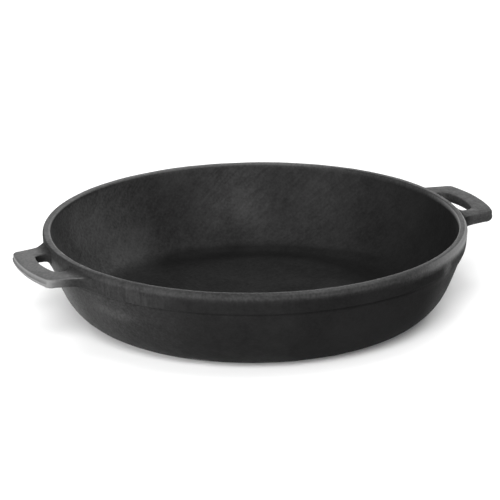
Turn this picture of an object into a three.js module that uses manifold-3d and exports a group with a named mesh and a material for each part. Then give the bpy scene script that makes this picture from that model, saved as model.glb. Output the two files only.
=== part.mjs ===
// A round cast-iron roasting pot: a shallow vessel with a thickened rim band and two loop handles.
// Millimetres, +Z up. The origin is the centre of the flat base, and the handles lie along X.

import * as THREE from "three";
import { mergeVertices } from "three/addons/utils/BufferGeometryUtils.js";
import Module from "manifold-3d";

const wasm = await Module();
wasm.setup();

// Vessel
const MOUTH_DIAMETER = 300; // inside of the rim, just under its rounded lip
const HEIGHT = 67; // base to the top of the rim
const WALL = 4.6; // wall thickness where the wall sweeps out of the floor
const FLOOR = 7; // floor thickness
const FLOOR_CREASE = 20; // degrees that the inside wall already rises by where it meets the floor
const BASE_SWEEP_RADIUS = 42; // outside curve from the base into the wall
const WALL_BOW_RADIUS = 200; // slight outward bow of the outside wall
const WALL_LEAN = 18.5; // degrees from vertical, outside, just under the band
const MOUTH_LEAN = 6; // degrees from vertical, inside, at the mouth

// Rim and the band below it
const LIP_ROUND = 1; // inner edge of the rim
const RIM_LAND = 1.3; // flat ring on top of the rim
const RIM_ROUND = 3.6; // outer edge of the rim
const BAND_HEIGHT = 15.2; // rim top to the band's lower edge
const BAND_DRAFT = 5.5; // degrees that the band narrows by, going down
const BAND_STEP = 3; // how far the band's lower edge stands out from the wall
const BAND_STEP_HEIGHT = 3.3; // height of the slope under the band

// Handles
const HANDLE_REACH = 27.9; // band to the crest of the grip
const HANDLE_DROP = 4.7; // rim top to the handle's top face
const HANDLE_THICKNESS = 7.8;
const HANDLE_ROOT_WIDTH = 80.5; // across the sides, where they would meet the band
const HANDLE_TIP_WIDTH = 69.5; // across the sides, where they would meet the grip's edge
const GRIP_BOW_RADIUS = 114; // curve of the grip's outer edge
const GRIP_WIDTH = 13.4; // grip bar, slot to outer edge, at its middle
const GRIP_CORNER_RADIUS = 4.4; // outer corners of the grip
const ROOT_FILLET_RADIUS = 10; // where the handle's sides flare into the band
const SLOT_WIDTH = 43; // finger slot, along the band
const SLOT_BOW_RADIUS = 58; // curve of the slot's outer edge
const SLOT_CORNER_RADIUS = 4.5; // all corners of the slot
const TOP_ROUND = 1.2; // upper edges of the plate
const UNDER_ROUND = 2.4; // lower edges, rounder where the fingers curl under
const COVE_RADIUS = 2.4; // hollow where the plate's faces meet the band

// Fit and facets
const SEAT_GAP = 0.3; // handle to band
const ROOT_BITE = 0.8; // how far the flares aim inside the band, so that they end in a firm edge
const ROOT_TAIL = 8; // how far the uncut plate runs on inside the band
const JOIN_DEPTH = 1; // overlap of pieces that are joined, and of cutters past what they cut
const RADIAL_FACETS = 96;
const EDGE_FACETS = 3;
const CHORD_ERROR = 0.06; // most that an arc's facets lie off the true arc
const WELD = 1e-4; // vertices closer than this are one

const CAST_IRON = { color: 0x2d2d2d, roughness: 0.62, metalness: 0.25 };

const degrees = THREE.MathUtils.degToRad;
const point = (x, y) => new THREE.Vector2(x, y);

// Derived places on the vessel, as radius and height
const mouth = point(MOUTH_DIAMETER / 2, HEIGHT - LIP_ROUND);
const landOuterRadius = mouth.x + LIP_ROUND + RIM_LAND;
const bandTop = point(landOuterRadius + RIM_ROUND, HEIGHT - RIM_ROUND);
const bandRadiusAt = (z) => bandTop.x - (bandTop.y - z) * Math.tan(degrees(BAND_DRAFT));
const bandFoot = point(bandRadiusAt(HEIGHT - BAND_HEIGHT), HEIGHT - BAND_HEIGHT);
const wallTop = point(bandFoot.x - BAND_STEP, bandFoot.y - BAND_STEP_HEIGHT);

// Points along an arc from one angle to another, in radians, both ends included.
function arc(centre, radius, from, to) {
  const sag = Math.min(CHORD_ERROR, radius / 2);
  const step = 2 * Math.acos(1 - sag / radius);
  const steps = Math.max(2, Math.ceil(Math.abs(to - from) / step));
  return new THREE.ArcCurve(centre.x, centre.y, radius, from, to, to < from).getPoints(steps);
}

// The direction square to a wall that leans out by an angle: outwards and a little down.
const squareTo = (lean) => point(Math.cos(lean), -Math.sin(lean));

// Outside, from the base's edge up to the wall's top: a wide sweep off the base, then the bowed
// wall, tangent to it. The wall's arc ends at the wall's top with its lean, and the sweep starts
// level with the ground.
function outsideWall() {
  const lean = degrees(WALL_LEAN);
  const bowCentre = wallTop.clone().addScaledVector(squareTo(lean), -WALL_BOW_RADIUS);
  const spread = WALL_BOW_RADIUS - BASE_SWEEP_RADIUS;
  const meetLean = Math.asin((bowCentre.y - BASE_SWEEP_RADIUS) / spread);
  const sweepCentre = bowCentre.clone().addScaledVector(squareTo(meetLean), spread);
  return {
    sweepCentre,
    points: [
      ...arc(sweepCentre, BASE_SWEEP_RADIUS, -Math.PI / 2, -meetLean),
      ...arc(bowCentre, WALL_BOW_RADIUS, -meetLean, -lean).slice(1),
    ],
  };
}

// Inside, from the mouth down to the floor: an arc that leaves the mouth at its lean, then a sweep,
// tangent to it, that is tighter than the outside one by the wall's thickness. The flat floor cuts
// the sweep off in a crease.
function insideWall(outsideSweepCentre) {
  const lean = degrees(MOUTH_LEAN);
  const crease = degrees(FLOOR_CREASE);
  const sweepRadius = BASE_SWEEP_RADIUS - WALL;
  const sweepCentre = point(outsideSweepCentre.x, FLOOR + sweepRadius * Math.cos(crease));
  const toMouth = mouth.clone().sub(sweepCentre);
  const bowRadius =
    (toMouth.lengthSq() - sweepRadius ** 2) / (2 * (toMouth.dot(squareTo(lean)) - sweepRadius));
  const bowCentre = mouth.clone().addScaledVector(squareTo(lean), -bowRadius);
  const meetAngle = sweepCentre.clone().sub(bowCentre).angle() - 2 * Math.PI;
  return [
    ...arc(bowCentre, bowRadius, -lean, meetAngle),
    ...arc(sweepCentre, sweepRadius, meetAngle, crease - Math.PI / 2).slice(1),
  ];
}

// A solid of revolution about Z from a profile of radius and height.
function revolve(profile) {
  return new THREE.LatheGeometry(profile, RADIAL_FACETS).rotateX(Math.PI / 2);
}

function vesselGeometry() {
  const outside = outsideWall();
  return revolve([
    point(0, 0),
    ...outside.points,
    bandFoot,
    ...arc(point(landOuterRadius, bandTop.y), RIM_ROUND, 0, Math.PI / 2),
    ...arc(point(mouth.x + LIP_ROUND, mouth.y), LIP_ROUND, Math.PI / 2, Math.PI),
    ...insideWall(outside.sweepCentre).slice(1),
    point(0, FLOOR),
  ]);
}

// The centre of an arc that touches both a straight side and a circle. The side runs from start
// along direction, off is the unit vector from the side to the arc's centre, and centreDistance is
// how far the arc's centre lies from the circle's.
function touchingCentre(start, direction, off, radius, circleCentre, centreDistance) {
  const base = start.clone().addScaledVector(off, radius).sub(circleCentre);
  const along = base.dot(direction);
  const travel = -along + Math.sqrt(along ** 2 - base.lengthSq() + centreDistance ** 2);
  return base.addScaledVector(direction, travel).add(circleCentre);
}

const handleTop = HEIGHT - HANDLE_DROP;
const handleBottom = handleTop - HANDLE_THICKNESS;
const handleBandRadius = bandRadiusAt((handleTop + handleBottom) / 2);
const rootCircleRadius = handleBandRadius - ROOT_BITE;
const gripCrest = handleBandRadius + HANDLE_REACH;
const bandAxis = point(0, 0);

// Half of an outline, on the +Y side, from inside the band to the middle of its bowed outer edge.
// The side runs outwards from root to tip, and a corner turns it into the bow. A fillet on the side
// given by flare (+1 away from the middle, -1 towards it) brings it to the band, and a tail leads
// on inside the band.
function halfOutline(root, bowCrest, bowRadius, tipHalfWidth, cornerRadius, filletRadius, flare, tail) {
  const bowCentre = point(bowCrest - bowRadius, 0);
  const tip = point(bowCentre.x + Math.sqrt(bowRadius ** 2 - tipHalfWidth ** 2), tipHalfWidth);
  const along = tip.clone().sub(root).normalize();
  const outwards = point(-along.y, along.x);
  const inwards = outwards.clone().negate();
  const filletSide = outwards.clone().multiplyScalar(flare);
  const filletReach = rootCircleRadius + filletRadius;
  const fillet = touchingCentre(root, along, filletSide, filletRadius, bandAxis, filletReach);
  const corner = touchingCentre(root, along, inwards, cornerRadius, bowCentre, bowRadius - cornerRadius);
  const filletFrom = Math.PI + fillet.angle();
  const sideAngle = filletSide.clone().negate().angle();
  const filletTo = sideAngle + (sideAngle < filletFrom - Math.PI ? 2 * Math.PI : 0);
  const bowFrom = corner.clone().sub(bowCentre).angle();
  return [
    fillet.clone().setLength(rootCircleRadius - tail),
    ...arc(fillet, filletRadius, filletFrom, filletTo),
    ...arc(corner, cornerRadius, outwards.angle(), bowFrom),
    ...arc(bowCentre, bowRadius, bowFrom, 0).slice(1),
  ];
}

// A half outline with its mirror image across X: a closed loop of points, anticlockwise from above.
function mirrored(half) {
  const otherHalf = half.map((p) => point(p.x, -p.y));
  return [...otherHalf, ...half.slice(0, -1).reverse()];
}

function handleOutline() {
  return mirrored(
    halfOutline(
      point(handleBandRadius, HANDLE_ROOT_WIDTH / 2),
      gripCrest,
      GRIP_BOW_RADIUS,
      HANDLE_TIP_WIDTH / 2,
      GRIP_CORNER_RADIUS,
      ROOT_FILLET_RADIUS,
      1,
      ROOT_TAIL,
    ),
  );
}

function slotOutline() {
  return mirrored(
    halfOutline(
      point(handleBandRadius, SLOT_WIDTH / 2),
      gripCrest - GRIP_WIDTH,
      SLOT_BOW_RADIUS,
      SLOT_WIDTH / 2,
      SLOT_CORNER_RADIUS,
      SLOT_CORNER_RADIUS,
      -1,
      ROOT_TAIL / 2,
    ),
  );
}

// A closed geometry as a manifold-3d solid, and back again.
function solidFrom(geometry) {
  const bare = geometry.clone().deleteAttribute("normal").deleteAttribute("uv");
  const merged = mergeVertices(bare, WELD);
  return new wasm.Manifold(
    new wasm.Mesh({
      numProp: 3,
      vertProperties: merged.attributes.position.array,
      triVerts: new Uint32Array(merged.index.array),
    }),
  );
}

function geometryFrom(solid) {
  const mesh = solid.getMesh();
  return new THREE.BufferGeometry()
    .setAttribute("position", new THREE.BufferAttribute(mesh.vertProperties, 3))
    .setIndex(new THREE.BufferAttribute(mesh.triVerts, 1));
}

// The handle's plan pulled up between two heights, with its upper and lower edges rounded alike.
function platform(bottom, top, edgeRound) {
  const shape = new THREE.Shape(handleOutline());
  shape.holes.push(new THREE.Path(slotOutline()));
  const geometry = new THREE.ExtrudeGeometry(shape, {
    depth: top - bottom - 2 * edgeRound,
    bevelThickness: edgeRound,
    bevelSize: edgeRound,
    bevelOffset: -edgeRound,
    bevelSegments: EDGE_FACETS,
  });
  return solidFrom(geometry.translate(0, 0, bottom + edgeRound));
}

// A ring that fills the corner between the band and the handle's upper face (up is +1), or its lower
// face (-1), with a hollow curve.
function coveRing(face, up) {
  const foot = bandRadiusAt(face);
  const centre = point(foot + COVE_RADIUS, face + up * COVE_RADIUS);
  const hollow = arc(centre, COVE_RADIUS, Math.PI, Math.PI + (up * Math.PI) / 2);
  const inner = foot - JOIN_DEPTH;
  const buried = face - up * JOIN_DEPTH;
  const profile = [
    ...hollow,
    point(foot + COVE_RADIUS, buried),
    point(inner, buried),
    point(inner, face + up * COVE_RADIUS),
    hollow[0],
  ];
  return solidFrom(revolve(up > 0 ? profile.reverse() : profile));
}

// A wide ring that ends at the band, with the handle's clearance: what the handle's root is cut by.
// It starts halfway to the axis, well inside the line that closes the plate's outline.
function bandCutter() {
  const low = handleBottom - COVE_RADIUS - JOIN_DEPTH;
  const high = handleTop + COVE_RADIUS + JOIN_DEPTH;
  const inner = handleBandRadius / 2;
  return solidFrom(
    revolve([
      point(inner, low),
      point(bandRadiusAt(low) + SEAT_GAP, low),
      point(bandRadiusAt(high) + SEAT_GAP, high),
      point(inner, high),
      point(inner, low),
    ]),
  );
}

// The plate is what two taller plates share: one has the upper edges, the other the lower. The coves
// stay within the plan of these plates, so they end with the plate's own sides.
function handleGeometry() {
  const upper = platform(handleBottom - HANDLE_THICKNESS, handleTop, TOP_ROUND);
  const lower = platform(handleBottom, handleTop + HANDLE_THICKNESS, UNDER_ROUND);
  const plate = upper.intersect(lower);
  const upperCove = lower.intersect(coveRing(handleTop, 1));
  const lowerCove = upper.intersect(coveRing(handleBottom, -1));
  return geometryFrom(plate.add(upperCove).add(lowerCove).subtract(bandCutter()));
}

function castIronMesh(name, geometry) {
  const mesh = new THREE.Mesh(geometry, new THREE.MeshStandardMaterial(CAST_IRON));
  mesh.name = name;
  return mesh;
}

const pot = new THREE.Group();
pot.name = "roasting_pot";
pot.add(castIronMesh("pot_body", vesselGeometry()));

const handle = handleGeometry();
for (const [name, turn] of [
  ["right_handle", 0],
  ["left_handle", Math.PI],
]) {
  const mesh = castIronMesh(name, handle);
  mesh.rotation.z = turn;
  pot.add(mesh);
}

export default pot;
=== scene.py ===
"""A round cast iron roasting pot with two loop handles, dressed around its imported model."""

import math
from typing import NamedTuple

import bmesh
import bpy
from bpy.props import FloatProperty, FloatVectorProperty, PointerProperty
from mathutils import Matrix, Vector, noise


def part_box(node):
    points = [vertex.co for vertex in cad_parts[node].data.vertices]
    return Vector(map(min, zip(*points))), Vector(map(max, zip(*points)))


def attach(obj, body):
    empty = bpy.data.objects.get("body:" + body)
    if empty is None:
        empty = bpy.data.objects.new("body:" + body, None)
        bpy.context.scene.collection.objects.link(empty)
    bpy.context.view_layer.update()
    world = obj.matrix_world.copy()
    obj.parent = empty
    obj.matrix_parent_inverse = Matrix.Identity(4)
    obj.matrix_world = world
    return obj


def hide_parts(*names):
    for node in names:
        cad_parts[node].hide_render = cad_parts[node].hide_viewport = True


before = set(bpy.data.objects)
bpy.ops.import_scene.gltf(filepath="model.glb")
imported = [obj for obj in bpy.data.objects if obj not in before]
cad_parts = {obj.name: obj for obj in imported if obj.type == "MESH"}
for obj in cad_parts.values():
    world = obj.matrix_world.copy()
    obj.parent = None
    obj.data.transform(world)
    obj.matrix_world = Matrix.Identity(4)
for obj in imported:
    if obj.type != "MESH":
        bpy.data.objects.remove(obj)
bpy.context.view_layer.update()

bl_info = {
    "name": "Cast Iron Roasting Pot",
    "version": (1, 0, 0),
    "blender": (4, 5, 0),
    "location": "3D View > Sidebar > Roasting Pot",
    "description": "Builds a cast iron roasting pot with two loop handles and a plain studio",
    "category": "Add Mesh",
}

POT_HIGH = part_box("pot_body")[1]

MM = 0.001
UP = Vector((0, 0, 1))
TOUCH = 0.001 * MM  # closer than this counts as the same place
ROUND_STEPS = 288  # facets round the vessel
FOLD_START = 0.22  # how far up the slope under the band its fold starts
VESSEL_WAVES, HANDLE_WAVES = 26 * MM, 17 * MM  # size of the waves in the sand-cast skin
FINER, SHALLOWER = 2.7, 0.5  # how the skin's second set of waves differs from its first
BASE_FLAT = 0.4 * MM  # whatever lies lower than this is part of the flat base
SHARP = math.radians(60)  # edges of a handle's slab that turn further than this get a round
SEATED, BURIED = 0.1 * MM, 1.5 * MM  # how deep a handle and the skirt at its root go into the band
ROOT_ROWS = [i * MM for i in range(1, 9)]  # band to the rows of edges that bend at a handle's root
PARTING_STEP = 0.25 * MM  # height of the step where a handle's two mould halves meet
FLOOR_GAP, FLOOR_REACH = 0.2 * MM, 8  # the studio's floor: under the base, and out from its middle
WORLD_STRENGTH = 0.3  # of the white surroundings
FAR_CLIP = 40  # the camera sees this far
SCOUR_TWIST = 7.0  # radians that the inside's scours go round in a metre of height
IRON = "seasoned_cast_iron"  # material
WEAR_AND_PAINTED_LIGHT = "wear_and_painted_light"  # attribute: 1 where the casting was ground or has worn, and where painted light or a painted highlight lightens it, 0 on the raw skin
FILED = "filed"  # attribute: 1 where the band shows upright file marks
SCOUR_AND_PAINTED_LIGHT = "scoured"  # attribute: how far the vessel's inside is rubbed down, raised by painted light at its left and lowered by painted shade at its right and round its floor, 0 on its outside
SOOTY = "sooty"  # attribute: 1 where soot has left the coat quite dull, 0 elsewhere


def linear(hex_colour):
    """An sRGB hex colour as linear red, green and blue."""
    channels = (int(hex_colour[i : i + 2], 16) / 255 for i in (1, 3, 5))
    return tuple(c / 12.92 if c <= 0.04045 else ((c + 0.055) / 1.055) ** 2.4 for c in channels)


def length(name, description, default):
    """A property that holds a length in metres."""
    return FloatProperty(
        name=name,
        description=description,
        default=default,
        subtype="DISTANCE",
        unit="LENGTH",
        precision=4,
    )


def angle(name, description, degrees):
    """A property that holds an angle."""
    return FloatProperty(
        name=name,
        description=description,
        default=math.radians(degrees),
        subtype="ANGLE",
        unit="ROTATION",
    )


def share(name, description, default):
    """A property that holds a share from 0 to 1."""
    return FloatProperty(
        name=name, description=description, default=default, subtype="FACTOR", min=0, max=1
    )


def colour(name, description, hex_colour):
    """A property that holds a colour."""
    return FloatVectorProperty(
        name=name,
        description=description,
        default=linear(hex_colour),
        subtype="COLOR",
        size=3,
        min=0,
        max=1,
    )


class VesselSizes(bpy.types.PropertyGroup):
    """Sizes of the round vessel."""

    height: length("Height", "Base to the top of the rim", POT_HIGH.z)
    rim_radius: length("Rim Radius", "Axis to the outside of the rim", POT_HIGH.x)
    mouth_radius: length("Mouth Radius", "Axis to the inside of the rim", 150 * MM)
    wall: length("Wall", "Thickness of the wall where it sweeps out of the floor", 4.6 * MM)
    floor: length("Floor", "Thickness of the floor", 7 * MM)
    floor_crease: angle("Floor Crease", "How far the wall rises where it meets the floor", 20)
    crease_round: length("Crease Round", "How far the crease at the floor is softened", 5 * MM)
    base_sweep: length("Base Sweep", "Radius of the curve from the base into the wall", 42 * MM)
    wall_bow: length("Wall Bow", "Radius of the wall's slight outward bow", 200 * MM)
    wall_lean: angle("Wall Lean", "Lean of the outside wall just under the band", 18.5)
    mouth_lean: angle("Mouth Lean", "Lean of the inside wall at the mouth", 6)
    lip_round: length("Lip Round", "Round of the rim's inner edge", 1.4 * MM)
    rim_round: length("Rim Round", "Round of the rim's outer edge", 3.6 * MM)
    band_height: length("Band Height", "Rim top to the lower edge of the band", 15.2 * MM)
    band_draft: angle("Band Draft", "How far the band narrows going down", 5.5)
    band_step: length("Band Step", "How far the band stands out from the wall", 3 * MM)
    band_slope: length("Band Slope", "Height of the slope under the band", 3.3 * MM)
    band_edge: length("Band Edge", "How far the band's lower edge is softened", 0.4 * MM)
    fold_depth: length("Fold Depth", "Depth of the fold in the skin right under the band", 1.0 * MM)
    fold_height: length("Fold Height", "Height of that fold", 2.0 * MM)
    cast_wave: length("Cast Wave", "How far the cast skin wanders from its true form", 0.16 * MM)


class HandleSizes(bpy.types.PropertyGroup):
    """Sizes of the two loop handles."""

    right_reach: length("Right Reach", "Band to the crest of the right grip", 28.5 * MM)
    left_reach: length("Left Reach", "Band to the crest of the left grip", 27.5 * MM)
    top: length("Top", "Height of the upper face", 62.3 * MM)
    right_thickness: length("Right Thickness", "Upper to lower face of the right handle", 8.6 * MM)
    left_thickness: length("Left Thickness", "Upper to lower face of the left handle", 7.5 * MM)
    root_width: length("Root Width", "Across the sides where they meet the band", 79 * MM)
    tip_width: length("Tip Width", "Across the sides where they meet the grip's edge", 69.5 * MM)
    root_fillet: length("Root Fillet", "Flare of the sides into the band", 12 * MM)
    long_flare: length("Long Flare", "How much further one side flares than the other", 2 * MM)
    long_flare_reach: length("Long Flare Reach", "Band to where that longer flare starts", 22 * MM)
    grip_corner: length("Grip Corner", "Outer corners of the grip", 4.4 * MM)
    grip_bow: length("Grip Bow", "Radius of the grip's outer edge", 114 * MM)
    slot_bow: length("Slot Bow", "Radius of the slot's outer edge", 58 * MM)
    slot_corner: length("Slot Corner", "Corners of the slot", 4.5 * MM)
    right_slot: length("Right Slot", "Width of the right finger slot", 45 * MM)
    left_slot: length("Left Slot", "Width of the left finger slot", 41 * MM)
    right_grip: length("Right Grip", "Width of the right grip bar", 12.9 * MM)
    left_grip: length("Left Grip", "Width of the left grip bar", 13.6 * MM)
    right_drift: length("Right Drift", "Handle's middle to the middle of the right slot", -1.2 * MM)
    left_drift: length("Left Drift", "Handle's middle to the middle of the left slot", 0)
    left_turn: angle("Left Turn", "How far round the rim the left handle lies off the axis", -0.4)
    top_round: length("Top Round", "Round of the upper edges", 1.2 * MM)
    under_round: length("Under Round", "Round of the outer lower edges", 3.2 * MM)
    slot_round: length("Slot Round", "Round of the slot's lower edges", 4.4 * MM)
    top_cove: length("Top Cove", "Hollow curve from the upper face up to the rim", 12.5 * MM)
    top_cove_reach: length("Top Cove Reach", "Band to where that curve starts", 7.4 * MM)
    under_cove: length("Under Cove", "Hollow curve from the lower face to the band", 2.4 * MM)
    mould_shift: length("Mould Shift", "How far the mould's lower half lay off", 0.8 * MM)
    lower_reach: length("Lower Reach", "How much further the grip's lower half reaches", 0.5 * MM)
    cast_wave: length("Cast Wave", "How far the cast skin wanders from its true form", 0.14 * MM)
    # Wear of the handles, raised further as painted highlights, most on the left handle's sides,
    # top and upper edges
    right_top_wear_and_highlight: share("Right Top Wear", "Wear of the right handle's top", 0.3)
    right_side_wear_and_highlight: share("Right Side Wear", "Wear of the right handle's sides", 0.26)
    left_top_wear_and_highlight: share("Left Top Wear", "Wear of the left handle's top", 0.47)
    left_side_wear_and_highlight: share("Left Side Wear", "Wear of the left handle's sides", 1)
    left_edge_wear_and_highlight: share("Left Edge Wear", "Wear of the left handle's upper edges", 0.55)


class IronColours(bpy.types.PropertyGroup):
    """Colours of the seasoned iron."""

    seasoning: colour("Seasoning", "Baked-on oil where it lies thick", "#060606")
    thin_seasoning: colour("Thin Seasoning", "Baked-on oil where it lies thin", "#121212")
    scoured: colour("Scoured", "The inside, rubbed down by scouring", "#121212")
    scoured_pale: colour("Scoured Pale", "The inside where scouring has bitten deepest", "#353535")
    # also the colour towards which painted light and painted highlights lighten faces
    bare_iron_and_highlight: colour("Ground Iron", "Edges that were ground before they were oiled", "#646464")


class StudioSettings(bpy.types.PropertyGroup):
    """The plain studio round the pot."""

    floor_colour: colour("Floor Colour", "Plain pale floor", "#f4f4f4")
    view_azimuth: angle("View Azimuth", "Turn of the camera round the pot", -24.55)
    view_elevation: angle("View Elevation", "Height of the camera above the horizon", 18.57)
    view_roll: angle("View Roll", "Tilt of the camera about its own line of sight", -0.68)
    view_distance: length("View Distance", "Camera to the point that it looks at", 3.586)
    view_point: FloatVectorProperty(
        name="View Point",
        description="What the camera looks at",
        default=(-3.5 * MM, 1.6 * MM, 48.1 * MM),
        subtype="TRANSLATION",
        unit="LENGTH",
    )
    lens: FloatProperty(name="Lens", description="Focal length", default=351.2, unit="CAMERA")


class PotSettings(bpy.types.PropertyGroup):
    """Everything that a user would change."""

    vessel: PointerProperty(type=VesselSizes)
    handles: PointerProperty(type=HandleSizes)
    iron: PointerProperty(type=IronColours)
    studio: PointerProperty(type=StudioSettings)


class Pen:
    """Draws an outline as a chain of vertices: straight stretches are extruded, round ones spun."""

    def __init__(self, bm, start, axis):
        self.bm = bm
        self.axis = Vector(axis)
        self.tip = bm.verts.new(start)

    def line(self, end, steps=1):
        start = self.tip.co.copy()
        for i in range(steps):
            self.tip = bmesh.ops.extrude_vert_indiv(self.bm, verts=[self.tip])["verts"][0]
            self.tip.co = start.lerp(end, (i + 1) / steps)
        return self.tip

    def arc(self, centre, end, steps):
        arm, last_arm = self.tip.co - centre, end - centre
        turn = math.atan2(arm.cross(last_arm).dot(self.axis), arm.dot(last_arm))
        spun = bmesh.ops.spin(
            self.bm, geom=[self.tip], cent=centre, axis=self.axis, angle=turn, steps=steps
        )
        self.tip = spun["geom_last"][0]
        return self.tip

    def corner(self, at, ahead, radius, line_steps, arc_steps):
        """Goes straight to a round corner and turns it, towards the point ahead.

        With no steps for the straight stretch, the outline starts where the corner does.
        """
        along = (at - self.tip.co).normalized()
        onward = (ahead - at).normalized()
        tangent = radius * math.tan(along.angle(onward) / 2)
        inwards = (onward - along * along.dot(onward)).normalized()
        start = at - along * tangent
        self.line(start, line_steps)
        self.tip.co = start
        return self.arc(start + inwards * radius, at + onward * tangent, arc_steps)


def soften_corner(bm, vert, reach):
    """Rounds one vertex of an outline."""
    bmesh.ops.bevel(
        bm, geom=[vert], offset=reach, segments=4, profile=0.5, affect="VERTICES", material=-1
    )


def at(radius, height):
    """A point of the vessel's profile."""
    return Vector((radius, 0, height))


def square_to(lean):
    """The direction square to a wall that leans out: outwards and a little down."""
    return at(math.cos(lean), -math.sin(lean))


def band_radius(vessel, height):
    """Radius of the rim band's drafted face at a height."""
    below_rim = vessel.height - vessel.rim_round - height
    return vessel.rim_radius - below_rim * math.tan(vessel.band_draft)


def draw_profile(bm, vessel):
    """Draws the vessel's section: from the base up outside, over the rim and down inside."""
    foot_height = vessel.height - vessel.band_height
    band_foot = at(band_radius(vessel, foot_height), foot_height)
    wall_top = band_foot - at(vessel.band_step, vessel.band_slope)
    bow_centre = wall_top - square_to(vessel.wall_lean) * vessel.wall_bow
    spread = vessel.wall_bow - vessel.base_sweep
    meet_lean = math.asin((bow_centre.z - vessel.base_sweep) / spread)
    sweep_centre = bow_centre + square_to(meet_lean) * spread

    pen = Pen(bm, at(0, 0), axis=(0, 1, 0))
    pen.line(at(sweep_centre.x, 0), steps=14)
    pen.arc(sweep_centre, sweep_centre + square_to(meet_lean) * vessel.base_sweep, steps=18)
    pen.arc(bow_centre, wall_top, steps=14)
    fold_rise = vessel.band_slope * FOLD_START
    fold_lip = wall_top + at(fold_rise * math.tan(vessel.wall_lean), fold_rise)
    pen.line(fold_lip)
    pen.line(fold_lip + at(-vessel.fold_depth, vessel.fold_height))
    foot_end = pen.line(band_foot)
    rim_side = at(vessel.rim_radius, vessel.height - vessel.rim_round)
    pen.line(rim_side, steps=6)
    rim_centre = rim_side - at(vessel.rim_round, 0)
    pen.arc(rim_centre, at(rim_side.x - vessel.rim_round, vessel.height), steps=8)
    lip_centre = at(vessel.mouth_radius + vessel.lip_round, vessel.height - vessel.lip_round)
    pen.line(at(lip_centre.x, vessel.height), steps=2)
    mouth = lip_centre - at(vessel.lip_round, 0)
    pen.arc(lip_centre, mouth, steps=4)

    inner_sweep = vessel.base_sweep - vessel.wall
    inner_centre = at(sweep_centre.x, vessel.floor + inner_sweep * math.cos(vessel.floor_crease))
    mouth_square = square_to(vessel.mouth_lean)
    to_mouth = mouth - inner_centre
    inner_bow = (to_mouth.length_squared - inner_sweep**2) / (
        2 * (to_mouth.dot(mouth_square) - inner_sweep)
    )
    inner_bow_centre = mouth - mouth_square * inner_bow
    meet = inner_centre + (inner_centre - inner_bow_centre).normalized() * inner_sweep
    to_crease = at(math.sin(vessel.floor_crease), -math.cos(vessel.floor_crease))
    crease = inner_centre + to_crease * inner_sweep
    pen.arc(inner_bow_centre, meet, steps=18)
    crease_end = pen.arc(inner_centre, crease, steps=12)
    pen.line(at(0, vessel.floor), steps=16)

    soften_corner(bm, foot_end, vessel.band_edge)
    soften_corner(bm, crease_end, vessel.crease_round)


def wander(bm, amount, size):
    """Moves the skin in and out a little, as sand moulds do, in waves of about a given size."""
    bm.normal_update()
    moves = []
    for vert in bm.verts:
        coarse = noise.noise(vert.co / size)
        fine = noise.noise(vert.co * FINER / size)
        moves.append(vert.normal * amount * (coarse + SHALLOWER * fine))
    for vert, move in zip(bm.verts, moves):
        vert.co += move


def ease(edge, full, value):
    """0 at one value, 1 at another, smooth between."""
    part = min(max((value - edge) / (full - edge), 0), 1)
    return part * part * (3 - 2 * part)


def part_way(start, end, part):
    """A value that lies some part of the way from one to another."""
    return start + (end - start) * part


def bearing_gap(vert, bearing):
    """How far round the pot a vertex lies from a bearing, in degrees."""
    gap = math.degrees(math.atan2(vert.co.y, vert.co.x)) - bearing
    return abs((gap + 180) % 360 - 180)


class Patch(NamedTuple):
    """A patch of the pot with a form or finish of its own, and how far that goes there.

    It is all there within some degrees of a bearing, and gone beyond others. Bearings start at the
    right handle: the back lies at 90, the left handle at 180 and the front at 270. Going up, it
    comes in between the two heights of its rise and goes out between those of its fall, which are
    in millimetres above the base or another level.
    """

    amount: float
    bearing: float
    full: float
    gone: float
    rise: tuple = ()
    fall: tuple = ()

    def beyond(self, vert):
        """0 within the patch's bearings, 1 outside them."""
        return ease(self.full, self.gone, bearing_gap(vert, self.bearing))

    def depth(self, vert, level=0):
        """How far the patch goes at a vertex."""
        depth = self.amount * (1 - self.beyond(vert))
        if self.rise:
            depth *= ease(*(level + height * MM for height in self.rise), vert.co.z)
        if self.fall:
            depth *= 1 - ease(*(level + height * MM for height in self.fall), vert.co.z)
        return depth


# Form of the rim
SQUARED_RIM = Patch(0.6, 95, 75, 105)  # the outer edge is squared up round the back
CRISP_FOLD = Patch(1, 240, 44, 64)  # the fold under the band is crisp along the front

# Inside: scoured all over and bitten deeper in places, lighter at its left in painted light, and
# darker at its right and round the floor in painted shade
SCOURING = 0.4
BITES_AND_PAINTED_LIGHT = (
    Patch(0.36, 72, 3, 13, rise=(12, 40)),  # high on the far wall
    Patch(0.45, 118, 3, 14, fall=(32, 56)),  # low on the far wall
    Patch(0.85, 150, 15, 58),  # painted light by the left handle
)
LEFT_PAINTED_LIGHT = Patch(0.14, 150, 15, 58)  # there the painted light goes further, towards the iron's bare colour
RIGHT_PAINTED_SHADE = Patch(0.4, -15, 15, 68)  # painted shade by the right handle
CORNER_PAINTED_SHADE = Patch(0.55, 50, 40, 68)  # painted shade in the corner round the floor
CORNER_MIDDLE = 6 * MM  # edge of the flat floor to where that painted shade is darkest
UP_WALL, OVER_FLOOR = 9 * MM, 28 * MM  # how far the painted shade reaches from there

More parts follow.
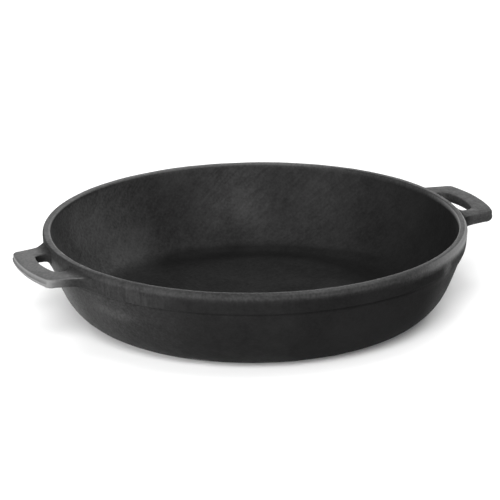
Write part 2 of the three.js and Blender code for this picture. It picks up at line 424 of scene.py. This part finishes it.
# Rim: its flat land and the lip inside it are ground, less or more along parts of them, and the
# lip's left end is lighter still as a painted highlight
EDGE_GRINDING = 0.41
LAND_CHANGES = (
    Patch(-0.2, 245, 30, 70),  # front
    Patch(-0.06, 150, 20, 36),  # left end
    Patch(-0.1, 0, 30, 55),  # right end
)
LIP_GRINDING_AND_HIGHLIGHT = (
    Patch(-0.13, 245, 30, 70),  # front
    Patch(0.1, 150, 20, 36),  # left end, lighter as a painted highlight
    Patch(-0.33, 0, 30, 55),  # right end
)
ROUND_GRINDING = 0.13  # its outer edge
WORN_ROUND = Patch(0.3, 297, 35, 75)  # that edge is worn at the right of the front
FACETS_AND_HIGHLIGHT = (
    Patch(1, 328, 8, 48, rise=(-10, -3)),  # a facet ground at the rim's right end, lighter still as a painted highlight
    Patch(0.38, 309, 0, 4, rise=(-20, -9)),  # a tongue of it down the band
)

# Outside: lighter round the left handle in painted light, lighter behind its finger slot, scuffed,
# filed and sooty
LEFT_WALL_LIGHT = (
    Patch(0.21, 180, 0, 55),  # painted light all round the left handle
    Patch(0.525, 160, 5, 30),  # more painted light behind it
)
LEFT_BAND_LIGHT = Patch(0.085, 185, 15, 46)  # painted light on the band there
HANDLE_ROOT_LIGHT = Patch(1, 5, 15, 46)  # that painted light, on a handle that isn't turned yet
SLOT_BACK = Patch(0.42, 176, 3, 10, rise=(48, 53), fall=(56, 63))  # behind the left finger slot
SCUFFS = (
    Patch(0.3, 208, 12, 26, fall=(1, 5)),  # along the foot
    Patch(0.5, 226, 2, 5, rise=(-0.5, 3), fall=(4, 7.5)),  # a nick above it
    Patch(0.09, 203, 3, 10, rise=(30.5, 36.5), fall=(38.5, 44.5)),  # on the wall under the band
)
FILE_MARKS = Patch(1, 209, 4, 18)  # on the band at the left of the front
SOOT = Patch(1, 281, 18, 31)  # at the right of the front


def finish_rim(bm, vessel):
    """Gives the rim and the step under its band the uneven form that a hand-held grinder leaves.

    The rim's outer edge is squared up round the back and round along the front. The fold under the
    band is crisp along the front. Elsewhere band and wall run together in a soft S.
    """
    centre = at(vessel.rim_radius - vessel.rim_round, vessel.height - vessel.rim_round)
    foot_height = vessel.height - vessel.band_height
    foot_radius = band_radius(vessel, foot_height)
    swell_low, swell_high = -7 * MM, 4 * MM  # ends of the soft S, from the band's lower edge
    fold_room = 2.5 * MM  # how far inside the wall's face the fold's bottom may lie
    for vert in bm.verts:
        radius, height = vert.co.xy.length, vert.co.z
        out, rise = radius - centre.x, height - centre.z
        above_foot = height - foot_height
        wall_rise = above_foot + vessel.band_slope
        wall_radius = foot_radius - vessel.band_step + wall_rise * math.tan(vessel.wall_lean)
        if out > 0 and rise > 0:
            power = 1 - SQUARED_RIM.depth(vert)
            turn = math.atan2(rise, out)
            radius = centre.x + vessel.rim_round * math.cos(turn) ** power
            vert.co.z = centre.z + vessel.rim_round * math.sin(turn) ** power
        elif swell_low < above_foot < swell_high and radius > wall_radius - fold_room:
            swell = ease(swell_low, swell_high, above_foot)
            soft_radius = part_way(wall_radius, band_radius(vessel, height), swell)
            radius = part_way(radius, soft_radius, CRISP_FOLD.beyond(vert))
        vert.co.xy *= radius / max(vert.co.xy.length, MM)


def inside_finish(vert, vessel, flat_radius):
    """How far a point of the inside is scoured, lighter in painted light or darker in painted
    shade, and how far painted light takes it towards bare iron.
    """
    radius = vert.co.xy.length
    on_wall = ease(vessel.floor, vessel.floor + 7 * MM, vert.co.z)
    bite_and_light = on_wall * max(patch.depth(vert) for patch in BITES_AND_PAINTED_LIGHT)
    past_corner = radius - flat_radius - CORNER_MIDDLE
    shade_reach = UP_WALL if past_corner > 0 else OVER_FLOOR
    painted_shade = RIGHT_PAINTED_SHADE.depth(vert) * ease(60 * MM, 110 * MM, radius)
    painted_shade += CORNER_PAINTED_SHADE.depth(vert) * (1 - ease(0, shade_reach, abs(past_corner)))
    return SCOURING + bite_and_light - painted_shade, LEFT_PAINTED_LIGHT.depth(vert) * on_wall


def outside_finish(vert, vessel):
    """How far a point of the outside or the rim is ground, worn or lightened by painted light and
    painted highlights, is filed, and is sooty.
    """
    height, upward, rim = vert.co.z, vert.normal.z, vessel.height
    band_foot = rim - vessel.band_height
    on_band = ease(band_foot - 0.2 * MM, band_foot + 0.4 * MM, height)
    rim_face = ease(rim - 6.5 * MM, rim - 3.5 * MM, height)
    level = ease(0.8, 0.98, upward)
    if vert.co.xy.length < vessel.mouth_radius + vessel.lip_round:
        changes, edge = LIP_GRINDING_AND_HIGHLIGHT, ease(rim - vessel.lip_round, rim - 0.4 * MM, height)
    else:
        changes, edge = LAND_CHANGES, level * ease(rim - 3 * MM, rim - 1 * MM, height)
    edge *= sum((patch.depth(vert) for patch in changes), EDGE_GRINDING)
    rounded = max(ROUND_GRINDING, WORN_ROUND.depth(vert) * ease(0.3, 0.9, upward)) * rim_face
    # a ground facet, lighter still as a painted highlight
    facet_and_highlight = max(patch.depth(vert, rim) for patch in FACETS_AND_HIGHLIGHT) * (1 - level)
    # painted light on the wall and band round the left handle, to which the real scuffs are added
    wall_light = sum(patch.depth(vert) for patch in LEFT_WALL_LIGHT)
    rubbed = part_way(wall_light, LEFT_BAND_LIGHT.depth(vert), on_band)
    rubbed += max(patch.depth(vert) for patch in SCUFFS)
    wear_and_painted_light = max(edge, rounded, facet_and_highlight, rubbed, SLOT_BACK.depth(vert))
    return wear_and_painted_light, on_band * FILE_MARKS.depth(vert), (1 - rim_face) * SOOT.depth(vert)


def mark_finish(bm, vessel):
    """Marks where the vessel is scoured inside, where it is ground, worn, filed or sooty, and where
    painted light, painted shade and painted highlights lie.
    """
    wear_and_painted_light, filed, scoured, sooty = (
        bm.verts.layers.float.new(name) for name in (WEAR_AND_PAINTED_LIGHT, FILED, SCOUR_AND_PAINTED_LIGHT, SOOTY)
    )
    flat_radius = max(
        vert.co.xy.length
        for vert in bm.verts
        if abs(vert.co.z - vessel.floor) < 0.1 * MM and vert.normal.z > 0.9
    )
    lip_foot, mouth_edge = vessel.height - vessel.lip_round, vessel.mouth_radius + 0.3 * MM
    for vert in bm.verts:
        faces_in = vert.normal.z > 0.7 or vert.normal.xy.dot(vert.co.xy) < 0
        if faces_in and vert.co.z < lip_foot and vert.co.xy.length < mouth_edge:
            vert[scoured], vert[wear_and_painted_light] = inside_finish(vert, vessel, flat_radius)
        else:
            vert[wear_and_painted_light], vert[filed], vert[sooty] = outside_finish(vert, vessel)


def build_vessel(vessel):
    """The vessel's mesh: its section spun about the upright axis."""
    bm = bmesh.new()
    draw_profile(bm, vessel)
    bmesh.ops.spin(
        bm,
        geom=bm.verts[:] + bm.edges[:],
        cent=(0, 0, 0),
        axis=UP,
        angle=math.tau,
        steps=ROUND_STEPS,
        use_merge=True,
    )
    bmesh.ops.remove_doubles(bm, verts=bm.verts, dist=0.01 * MM)
    bmesh.ops.recalc_face_normals(bm, faces=bm.faces)
    bm.normal_update()
    finish_rim(bm, vessel)
    bm.normal_update()
    mark_finish(bm, vessel)
    wander(bm, vessel.cast_wave, VESSEL_WAVES)
    for vert in bm.verts:
        if vert.co.z < BASE_FLAT:
            vert.co.z = 0
    return bm


def draw_half(bm, root, flare, crest, half_width, fillet, corner, bow):
    """Draws half of an outline flat: X is the distance from the band, and Y runs along it.

    From the band it goes along a side, round a corner and along a bowed edge to the middle. The
    fillet at the band lies away from the middle where flare is 1, and towards it where it is -1.
    """
    centre = Vector((crest - bow, 0, 0))
    tip = Vector((centre.x + math.sqrt(bow**2 - half_width**2), half_width, 0))
    pen = Pen(bm, root + Vector((0, flare * fillet, 0)), axis=UP)
    pen.corner(root, tip, fillet, line_steps=0, arc_steps=14)
    pen.corner(tip, tip + (tip - centre).cross(UP), corner, line_steps=6, arc_steps=8)
    pen.arc(centre, Vector((crest, 0, 0)), steps=14)


class Side(NamedTuple):
    """What sets one handle apart from the other."""

    name: str
    turn: float
    reach: float
    thickness: float
    slot: float
    grip: float
    drift: float
    root_light: float
    top_wear_and_highlight: float
    side_wear_and_highlight: float
    slot_wear_and_highlight: float
    edge_wear_and_highlight: float
    wear_reach: float

    @property
    def slot_reach(self):
        """Band to the crest of the slot's outer edge."""
        return self.reach - self.grip


def parting_height(handles, side):
    """Height of the plane in which a handle's two mould halves meet."""
    return handles.top - side.thickness / 2


def draw_plan(bm, vessel, handles, side):
    """Draws half of a handle's plan, flat: its outside and its slot."""
    round_band = band_radius(vessel, parting_height(handles, side))

    def flat_bow(bow, crest):
        """The bow that is left for a flat edge when the band's own curve is taken off it."""
        return 1 / (1 / bow - 1 / (round_band + crest))

    draw_half(
        bm,
        root=Vector((0, handles.root_width / 2, 0)),
        flare=1,
        crest=side.reach,
        half_width=handles.tip_width / 2,
        fillet=handles.root_fillet,
        corner=handles.grip_corner,
        bow=flat_bow(handles.grip_bow, side.reach),
    )
    draw_half(
        bm,
        root=Vector((0, side.slot / 2, 0)),
        flare=-1,
        crest=side.slot_reach,
        half_width=side.slot / 2,
        fillet=handles.slot_corner,
        corner=handles.slot_corner,
        bow=flat_bow(handles.slot_bow, side.slot_reach),
    )


def cove_rise(distance, radius, reach):
    """Rise, at a distance from the band, of a hollow curve that starts at a reach from it."""
    inside = min(max(reach - distance, 0), radius)
    return radius - math.sqrt(radius**2 - inside**2)


def seat_on_band(bm, vessel, handles, side):
    """Bends the flat handle round the band, and lets its faces run into it in hollow curves."""
    middle = parting_height(handles, side)
    mean_radius = band_radius(vessel, middle)
    flare = handles.root_width / 2
    hollow_end, hollow_gone = flare - 4 * MM, flare + 8 * MM  # the hollows run out along the flares
    deepest = -1 * MM  # further inside the band, the upper hollow rises no more
    draft_reach = 7 * MM  # further out, a handle no longer follows the band's draft
    for vert in bm.verts:
        distance = vert.co.x
        off_middle = (vert.co.z - middle) / (side.thickness / 2)
        if off_middle > 0:
            rise = cove_rise(max(distance, deepest), handles.top_cove, handles.top_cove_reach)
        else:
            rise = cove_rise(distance, handles.under_cove, handles.under_cove)
        rise *= 1 - ease(hollow_end, hollow_gone, abs(vert.co.y))
        height = vert.co.z + off_middle * rise
        near_band = 1 - ease(0, draft_reach, distance)
        face = band_radius(vessel, min(height, vessel.height - vessel.rim_round))
        radius = part_way(mean_radius, face, near_band) + distance
        vert.co.x = math.sqrt(radius**2 - vert.co.y**2)
        vert.co.z = height


def cut_rows(bm, axis, places):
    """Cuts rows of edges through a mesh, square to an axis."""
    for place in places:
        bmesh.ops.bisect_plane(
            bm,
            geom=bm.verts[:] + bm.edges[:] + bm.faces[:],
            dist=TOUCH,
            plane_co=axis * place,
            plane_no=axis,
        )


def round_edges(bm, edges, edge_round):
    """Rounds edges of a handle."""
    bmesh.ops.bevel(
        bm,
        geom=edges,
        offset=edge_round,
        offset_type="ABSOLUTE",
        segments=5,
        profile=0.5,
        affect="EDGES",
        material=-1,
    )


def thicken_plan(bm, handles, side):
    """Makes a slab of a handle's half plan, with a skirt at its root that goes into the band."""
    rails = bm.edges[:]
    bmesh.ops.bridge_loops(bm, edges=rails)
    ties = [edge for edge in bm.edges if edge not in rails]
    bmesh.ops.subdivide_edges(bm, edges=ties, cuts=1, use_grid_fill=True)
    half = bm.verts[:] + bm.edges[:] + bm.faces[:]
    bmesh.ops.mirror(bm, geom=half, axis="Y", merge_dist=TOUCH)
    root_edges = [
        edge
        for edge in bm.edges
        if edge.is_boundary and all(abs(vert.co.x) < TOUCH for vert in edge.verts)
    ]
    skirt = bmesh.ops.extrude_edge_only(bm, edges=root_edges)["geom"]
    buried = [part for part in skirt if isinstance(part, bmesh.types.BMVert)]
    bmesh.ops.translate(bm, verts=buried, vec=(-BURIED, 0, 0))
    bmesh.ops.translate(bm, verts=bm.verts, vec=(-SEATED, 0, handles.top))
    bmesh.ops.recalc_face_normals(bm, faces=bm.faces)
    if bm.faces[0].normal.z < 0:
        bmesh.ops.reverse_faces(bm, faces=bm.faces)
    bmesh.ops.solidify(bm, geom=bm.faces[:], thickness=side.thickness)
    bmesh.ops.recalc_face_normals(bm, faces=bm.faces)


def round_slab(bm, handles, side):
    """Rounds a slab's edges: a little above, more below, and most below round the slot."""
    parting = parting_height(handles, side)
    spare = 1 * MM
    slot_side, slot_end = side.slot / 2 + spare, side.slot_reach + spare
    upper, slot, outer = [], [], []
    for edge in bm.edges:
        if edge.calc_face_angle(0) > SHARP and any(vert.co.x > -spare for vert in edge.verts):
            in_slot = all(abs(v.co.y) < slot_side and v.co.x < slot_end for v in edge.verts)
            heights = {vert.co.z > parting for vert in edge.verts}
            if heights == {True}:
                upper.append(edge)
            elif heights == {False}:
                (slot if in_slot else outer).append(edge)
    round_edges(bm, upper, handles.top_round)
    round_edges(bm, slot, handles.slot_round)
    round_edges(bm, [edge for edge in outer if edge.is_valid], handles.under_round)


def set_halves(bm, handles, side):
    """Moves a slab's slot and flares off true, and its lower mould half off the upper one."""
    parting = parting_height(handles, side)
    cut_rows(bm, Vector((1, 0, 0)), ROOT_ROWS)
    cut_rows(bm, UP, (parting, parting - PARTING_STEP))
    mould_shift = Matrix.Rotation(-side.turn, 3, "Z") @ Vector((0, handles.mould_shift, 0))
    mould_shift.x += handles.lower_reach
    for vert in bm.verts:
        middling = 1 - ease(0, handles.root_width / 2, abs(vert.co.y))
        near_root = 1 - ease(0, handles.long_flare_reach, vert.co.x)
        outside = ease(side.slot / 2, handles.root_width / 2, vert.co.y)
        vert.co.y += side.drift * middling + handles.long_flare * near_root * outside
        if vert.co.z < parting - 0.8 * PARTING_STEP:
            vert.co += mould_shift


def mark_wear_and_highlights(bm, vessel, side):
    """Marks how far a handle is rubbed down and lightened by painted highlights: its top, its
    sides, its slot and its upper edges, with painted light at the root of the left one.
    """
    wear_and_painted_light = bm.verts.layers.float.new(WEAR_AND_PAINTED_LIGHT)
    for vert in bm.verts:
        upward = vert.normal.z
        distance = vert.co.xy.length - band_radius(vessel, vert.co.z)
        beside_slot, beyond_slot = abs(vert.co.y) - side.slot / 2, distance - side.slot_reach
        in_slot = beside_slot < 2 * MM and beyond_slot < 2 * MM
        by_slot = beside_slot < 8 * MM and beyond_slot < 3 * MM
        # painted light at the root, to match the band's painted light round the left handle
        root_light = side.root_light * HANDLE_ROOT_LIGHT.depth(vert)
        outward = ease(side.wear_reach / 4, side.wear_reach, distance)
        side_wear_and_highlight = side.slot_wear_and_highlight if in_slot else part_way(root_light, side.side_wear_and_highlight, outward)
        wear_and_highlight = part_way(side_wear_and_highlight, side.top_wear_and_highlight, ease(0.2, 0.8, upward))
        wear_and_highlight = part_way(root_light, wear_and_highlight, ease(0, 10 * MM, distance))
        # a painted highlight along the upper edges, short of the band and the slot
        on_edge = ease(0.35, 0.6, upward) * (1 - ease(0.85, 0.97, upward))
        on_edge *= 0 if by_slot else ease(2 * MM, 5 * MM, distance)
        vert[wear_and_painted_light] = max(wear_and_highlight, side.edge_wear_and_highlight * on_edge)


def build_handle(vessel, handles, side):
    """A handle's mesh, on the right of the pot, rooted in the band."""
    bm = bmesh.new()
    draw_plan(bm, vessel, handles, side)
    thicken_plan(bm, handles, side)
    round_slab(bm, handles, side)
    set_halves(bm, handles, side)
    seat_on_band(bm, vessel, handles, side)
    bmesh.ops.recalc_face_normals(bm, faces=bm.faces)
    wander(bm, handles.cast_wave, HANDLE_WAVES)
    mark_wear_and_highlights(bm, vessel, side)
    return bm


def add_node(tree, kind, sockets=(), output=0, **settings):
    """Adds a node with its settings, sets or links its inputs, and gives one of its outputs."""
    node = tree.nodes.new(kind)
    for name, value in settings.items():
        setattr(node, name, value)
    for socket, value in dict(sockets).items():
        if isinstance(value, bpy.types.NodeSocket):
            tree.links.new(value, node.inputs[socket])
        else:
            node.inputs[socket].default_value = value
    return node.outputs[output] if node.outputs else node


def new_material(name):
    """An empty node material and its tree."""
    material = bpy.data.materials.new(name)
    material.use_nodes = True
    material.node_tree.nodes.clear()
    return material, material.node_tree


def per_metre(size_mm):
    """The scale of a pattern whose features are a size in millimetres across."""
    return 1 / (size_mm * MM)


# Sockets of a Mix node: its factor, its two values, its two colours, and the colour it gives
FACTOR, FIRST, SECOND, FIRST_COLOUR, SECOND_COLOUR, MIXED_COLOUR = 0, 2, 3, 6, 7, 2
# Roughness of the iron's finishes
THICK_ROUGH, THIN_ROUGH, SCOURED_ROUGH, SOOT_ROUGH, BARE_ROUGH = 0.82, 0.68, 0.75, 1.0, 0.4
# Depths of its patterns
GRAIN_DEPTH, FILE_DEPTH = 0.2 * MM, 0.05 * MM


def seasoned_iron(iron):
    """Sand-cast iron under baked-on oil.

    The coat is nearly black and matt. What the eye gets is a soft sheen that grows towards glancing
    angles, broken by the sand's grain, by clouds where the oil lies thin, by slanting scours inside
    and by upright file marks on part of the band. Ground and worn edges show greyer iron with more
    sheen, and soot takes the sheen away. Painted light lightens the left of the pot, inside and
    out, painted highlights lighten the handles and the rim's right end, and painted shade darkens
    the inside at its right and round its floor.
    """
    material, tree = new_material(IRON)
    place = add_node(tree, "ShaderNodeTexCoord", output="Object")
    wear_and_painted_light, filed, scoured, sooty = (
        add_node(tree, "ShaderNodeAttribute", output="Fac", attribute_name=name)
        for name in (WEAR_AND_PAINTED_LIGHT, FILED, SCOUR_AND_PAINTED_LIGHT, SOOTY)
    )

    # Oil baked on in clouds some 45 mm across, over blotches of 7 mm
    clouds = add_node(
        tree, "ShaderNodeTexNoise", {"Vector": place, "Scale": per_metre(45), "Detail": 3}
    )
    blotches = add_node(
        tree,
        "ShaderNodeTexNoise",
        {"Vector": place, "Scale": per_metre(7), "Detail": 5, "Roughness": 0.7},
    )
    # File marks 3 mm apart and eight times as long, which run up and down the band
    upright = add_node(tree, "ShaderNodeMapping", {"Vector": place, "Scale": (1, 1, 0.12)})
    file_marks = add_node(
        tree,
        "ShaderNodeTexNoise",
        {"Vector": upright, "Scale": per_metre(3), "Detail": 5, "Roughness": 0.65},
    )
    # Scours 3 mm apart, which climb the inside at about 45 degrees: the pattern turns with height
    height = add_node(tree, "ShaderNodeSeparateXYZ", {"Vector": place}, output="Z")
    twist = add_node(tree, "ShaderNodeMath", {0: height, 1: SCOUR_TWIST}, operation="MULTIPLY")
    turned = add_node(
        tree, "ShaderNodeVectorRotate", {"Vector": place, "Angle": twist}, rotation_type="Z_AXIS"
    )
    slanted = add_node(tree, "ShaderNodeMapping", {"Vector": turned, "Scale": (1, 1, 0.06)})
    scours = add_node(
        tree, "ShaderNodeTexNoise", {"Vector": slanted, "Scale": per_metre(3), "Detail": 3}
    )
    # Sand grain, which is really under 1 mm, drawn at 1.8 mm so that it shows
    grain = add_node(
        tree, "ShaderNodeTexNoise", {"Vector": place, "Scale": per_metre(1.8), "Detail": 2}
    )

    # Oil lies thin in patches, sprinkled with grain
    patches = add_node(tree, "ShaderNodeMix", {FACTOR: 0.35, FIRST: clouds, SECOND: blotches})
    coat = add_node(tree, "ShaderNodeMix", {FACTOR: 0.3, FIRST: patches, SECOND: grain})
    thin = add_node(tree, "ShaderNodeMapRange", {"Value": coat, "From Min": 0.35, "From Max": 0.65})
    thick_oil, thin_oil = (*iron.seasoning, 1), (*iron.thin_seasoning, 1)
    skin = add_node(
        tree,
        "ShaderNodeMix",
        {FACTOR: thin, FIRST_COLOUR: thick_oil, SECOND_COLOUR: thin_oil},
        output=MIXED_COLOUR,
        data_type="RGBA",
    )
    # Scours bite into the coat inside
    rubbed = add_node(tree, "ShaderNodeMix", {FACTOR: 0.24, FIRST: coat, SECOND: scours})
    bitten = add_node(
        tree, "ShaderNodeMapRange", {"Value": rubbed, "From Min": 0.35, "From Max": 0.65}
    )
    light_scour, deep_scour = (*iron.scoured, 1), (*iron.scoured_pale, 1)
    inside = add_node(
        tree,
        "ShaderNodeMix",
        {FACTOR: bitten, FIRST_COLOUR: light_scour, SECOND_COLOUR: deep_scour},
        output=MIXED_COLOUR,
        data_type="RGBA",
    )
    coated = add_node(
        tree,
        "ShaderNodeMix",
        {FACTOR: scoured, FIRST_COLOUR: skin, SECOND_COLOUR: inside},
        output=MIXED_COLOUR,
        data_type="RGBA",
    )
    # Light wear bares only the tops of the grain, heavy wear all of it, and a file its own streaks;
    # painted light and painted highlights lighten the iron the same way
    specks = add_node(tree, "ShaderNodeMix", {FACTOR: 0.55, FIRST: patches, SECOND: grain})
    rubbed_bare = add_node(
        tree,
        "ShaderNodeMapRange",
        {"Value": specks, "From Min": 0.39, "From Max": 0.61, "To Min": 0.4},
    )
    filed_bare = add_node(
        tree,
        "ShaderNodeMapRange",
        {"Value": file_marks, "From Min": 0.4, "From Max": 0.75, "To Max": 0.07},
    )
    bared_and_lit = add_node(tree, "ShaderNodeMix", {FACTOR: wear_and_painted_light, FIRST: rubbed_bare, SECOND: 1.0})
    worn_and_lit_patches = add_node(tree, "ShaderNodeMath", {0: bared_and_lit, 1: wear_and_painted_light}, operation="MULTIPLY")
    worn_streaks = add_node(tree, "ShaderNodeMath", {0: filed_bare, 1: filed}, operation="MULTIPLY")
    worn_and_lit = add_node(tree, "ShaderNodeMath", {0: worn_and_lit_patches, 1: worn_streaks}, operation="ADD")
    colours = add_node(
        tree,
        "ShaderNodeMix",
        {FACTOR: worn_and_lit, FIRST_COLOUR: coated, SECOND_COLOUR: (*iron.bare_iron_and_highlight, 1)},
        output=MIXED_COLOUR,
        data_type="RGBA",
    )
    # The coat is duller where it lies thick, dullest under soot, and bare iron and the patches of
    # painted light shine most
    coat_rough = add_node(
        tree,
        "ShaderNodeMapRange",
        {
            "Value": blotches,
            "From Min": 0.3,
            "From Max": 0.7,
            "To Min": THICK_ROUGH,
            "To Max": THIN_ROUGH,
        },
    )
    inside_rough = add_node(
        tree, "ShaderNodeMix", {FACTOR: scoured, FIRST: coat_rough, SECOND: SCOURED_ROUGH}
    )
    sooty_rough = add_node(
        tree, "ShaderNodeMix", {FACTOR: sooty, FIRST: inside_rough, SECOND: SOOT_ROUGH}
    )
    roughness = add_node(
        tree, "ShaderNodeMix", {FACTOR: worn_and_lit, FIRST: sooty_rough, SECOND: BARE_ROUGH}
    )

    sandy = add_node(
        tree, "ShaderNodeBump", {"Height": grain, "Strength": 1, "Distance": GRAIN_DEPTH}
    )
    grooved = add_node(
        tree,
        "ShaderNodeBump",
        {"Height": file_marks, "Strength": filed, "Distance": FILE_DEPTH, "Normal": sandy},
    )
    shader = add_node(
        tree,
        "ShaderNodeBsdfPrincipled",
        {
            "Base Color": colours,
            "Roughness": roughness,
            "Specular IOR Level": 0.11,
            "Normal": grooved,
        },
    )
    add_node(tree, "ShaderNodeOutputMaterial", {"Surface": shader})
    return material


def add_piece(name, bm, material, node):
    """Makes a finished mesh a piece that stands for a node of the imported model."""
    for face in bm.faces:
        face.smooth = True
    mesh = bpy.data.meshes.new(name)
    bm.to_mesh(mesh)
    bm.free()
    mesh.materials.append(material)
    piece = bpy.data.objects.new(name, mesh)
    bpy.context.scene.collection.objects.link(piece)
    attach(piece, "root")
    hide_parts(node)


def iron_material(context):
    """The pot's one material, made on first use."""
    return bpy.data.materials.get(IRON) or seasoned_iron(context.scene.roasting_pot.iron)


class AddVessel(bpy.types.Operator):
    """Adds the round vessel with its rim band"""

    bl_idname = "roasting_pot.add_vessel"
    bl_label = "Add Vessel"

    def execute(self, context):
        settings = context.scene.roasting_pot
        add_piece("iron_vessel", build_vessel(settings.vessel), iron_material(context), "pot_body")
        return {"FINISHED"}


class AddHandles(bpy.types.Operator):
    """Adds both loop handles, rooted in the band"""

    bl_idname = "roasting_pot.add_handles"
    bl_label = "Add Handles"

    def execute(self, context):
        settings = context.scene.roasting_pot
        handles = settings.handles
        right = Side(
            name="right",
            turn=0,
            reach=handles.right_reach,
            thickness=handles.right_thickness,
            slot=handles.right_slot,
            grip=handles.right_grip,
            drift=handles.right_drift,
            root_light=0,
            top_wear_and_highlight=handles.right_top_wear_and_highlight,
            side_wear_and_highlight=handles.right_side_wear_and_highlight,
            slot_wear_and_highlight=handles.right_side_wear_and_highlight,
            edge_wear_and_highlight=0,
            wear_reach=8 * MM,
        )
        left = Side(
            name="left",
            turn=math.pi + handles.left_turn,
            reach=handles.left_reach,
            thickness=handles.left_thickness,
            slot=handles.left_slot,
            grip=handles.left_grip,
            drift=handles.left_drift,
            # painted light at the left handle's root, and painted highlights on its top, sides and
            # upper edges
            root_light=LEFT_BAND_LIGHT.amount,
            top_wear_and_highlight=handles.left_top_wear_and_highlight,
            side_wear_and_highlight=handles.left_side_wear_and_highlight,
            slot_wear_and_highlight=0,
            edge_wear_and_highlight=handles.left_edge_wear_and_highlight,
            wear_reach=30 * MM,
        )
        for side in (right, left):
            bm = build_handle(settings.vessel, handles, side)
            turn = Matrix.Rotation(side.turn, 3, "Z")
            bmesh.ops.rotate(bm, verts=bm.verts, cent=(0, 0, 0), matrix=turn)
            add_piece(f"iron_{side.name}_handle", bm, iron_material(context), f"{side.name}_handle")
        return {"FINISHED"}


class AddStage(bpy.types.Operator):
    """Adds the floor, the lights and the camera"""

    bl_idname = "roasting_pot.add_stage"
    bl_label = "Add Stage"

    def execute(self, context):
        studio = context.scene.roasting_pot.studio
        add_floor(studio)
        add_lights(context.scene)
        add_camera(context.scene, studio)
        return {"FINISHED"}


def add_floor(studio):
    """A plain pale floor that is seen through from below, so that the base can be looked at."""
    bm = bmesh.new()
    bmesh.ops.create_grid(bm, x_segments=1, y_segments=1, size=FLOOR_REACH)
    bmesh.ops.translate(bm, verts=bm.verts, vec=(0, 0, -FLOOR_GAP))
    mesh = bpy.data.meshes.new("floor")
    bm.to_mesh(mesh)
    bm.free()
    material, tree = new_material("studio_floor")
    below = add_node(tree, "ShaderNodeNewGeometry", output="Backfacing")
    paper = add_node(tree, "ShaderNodeBsdfDiffuse", {"Color": (*studio.floor_colour, 1)})
    clear = add_node(tree, "ShaderNodeBsdfTransparent")
    mixed = add_node(tree, "ShaderNodeMixShader", {0: below, 1: paper, 2: clear})
    add_node(tree, "ShaderNodeOutputMaterial", {"Surface": mixed})
    mesh.materials.append(material)
    floor = bpy.data.objects.new("floor", mesh)
    bpy.context.scene.collection.objects.link(floor)


class Softbox(NamedTuple):
    """A large soft light that faces the pot: angles in degrees, sizes in metres, power in watts."""

    name: str
    bearing: float
    elevation: float
    distance: float
    width: float
    height: float
    power: float


SOFTBOXES = (
    Softbox("left", 180, 12, 3.0, 1.9, 1.3, 34),
    Softbox("front_left", 215, 12, 3.0, 1.9, 1.3, 60),
    Softbox("front", 245, 12, 4.2, 2.6, 1.3, 75),
    Softbox("high_front", 245, 35, 2.6, 1.4, 1.2, 62),
    Softbox("high_right", 320, 60, 2.2, 1.5, 1.2, 8),
    Softbox("right", 5, 12, 3.0, 1.9, 1.3, 4),
    Softbox("overhead", 0, 90, 2.0, 1.6, 1.6, 19),
    Softbox("back", 62, 14, 3.0, 2.6, 1.4, 46),
)


def add_lights(scene):
    """White surroundings and softboxes, most of them in front and on the left."""
    world = bpy.data.worlds.new("white_studio")
    world.use_nodes = True
    background = world.node_tree.nodes["Background"]
    background.inputs["Color"].default_value = (1, 1, 1, 1)
    background.inputs["Strength"].default_value = WORLD_STRENGTH
    scene.world = world
    for box in SOFTBOXES:
        light = bpy.data.lights.new(box.name, "AREA")
        light.shape = "ELLIPSE"
        light.size, light.size_y = box.width, box.height
        light.energy = box.power
        softbox = bpy.data.objects.new(box.name, light)
        turn = Matrix.Rotation(math.radians(box.bearing), 3, "Z")
        lift = Matrix.Rotation(math.radians(-box.elevation), 3, "Y")
        softbox.location = turn @ lift @ Vector((box.distance, 0, 0))
        softbox.rotation_euler = (-softbox.location).to_track_quat("-Z", "Y").to_euler()
        scene.collection.objects.link(softbox)
    scene.view_settings.view_transform = "Standard"


def add_camera(scene, studio):
    """The camera, far off with a long lens."""
    turn = Matrix.Rotation(studio.view_azimuth, 3, "Z")
    right = turn @ Vector((1, 0, 0))
    flat_back = turn @ Vector((0, -1, 0))
    back = flat_back * math.cos(studio.view_elevation) + UP * math.sin(studio.view_elevation)
    upright = back.cross(right)
    tilt = Matrix.Rotation(studio.view_roll, 3, back)
    axes = Matrix((tilt @ right, tilt @ upright, back)).transposed()
    data = bpy.data.cameras.new("camera")
    data.lens = studio.lens
    data.clip_end = FAR_CLIP
    camera = bpy.data.objects.new("camera", data)
    camera.matrix_world = Matrix.Translation(
        Vector(studio.view_point) + back * studio.view_distance
    ) @ axes.to_4x4()
    scene.collection.objects.link(camera)
    scene.camera = camera


class PotPanel(bpy.types.Panel):
    """Lists the pot's pieces and the studio"""

    bl_idname = "VIEW3D_PT_roasting_pot"
    bl_label = "Roasting Pot"
    bl_space_type = "VIEW_3D"
    bl_region_type = "UI"
    bl_category = "Roasting Pot"

    def draw(self, context):
        for operator in (AddVessel, AddHandles, AddStage):
            self.layout.operator(operator.bl_idname)


CLASSES = (
    VesselSizes,
    HandleSizes,
    IronColours,
    StudioSettings,
    PotSettings,
    AddVessel,
    AddHandles,
    AddStage,
    PotPanel,
)


def register():
    for cls in CLASSES:
        bpy.utils.register_class(cls)
    bpy.types.Scene.roasting_pot = PointerProperty(type=PotSettings)


def unregister():
    del bpy.types.Scene.roasting_pot
    for cls in reversed(CLASSES):
        bpy.utils.unregister_class(cls)


def main():
    register()
    bpy.ops.roasting_pot.add_vessel()
    bpy.ops.roasting_pot.add_handles()
    bpy.ops.roasting_pot.add_stage()


if __name__ == "__main__":
    main()
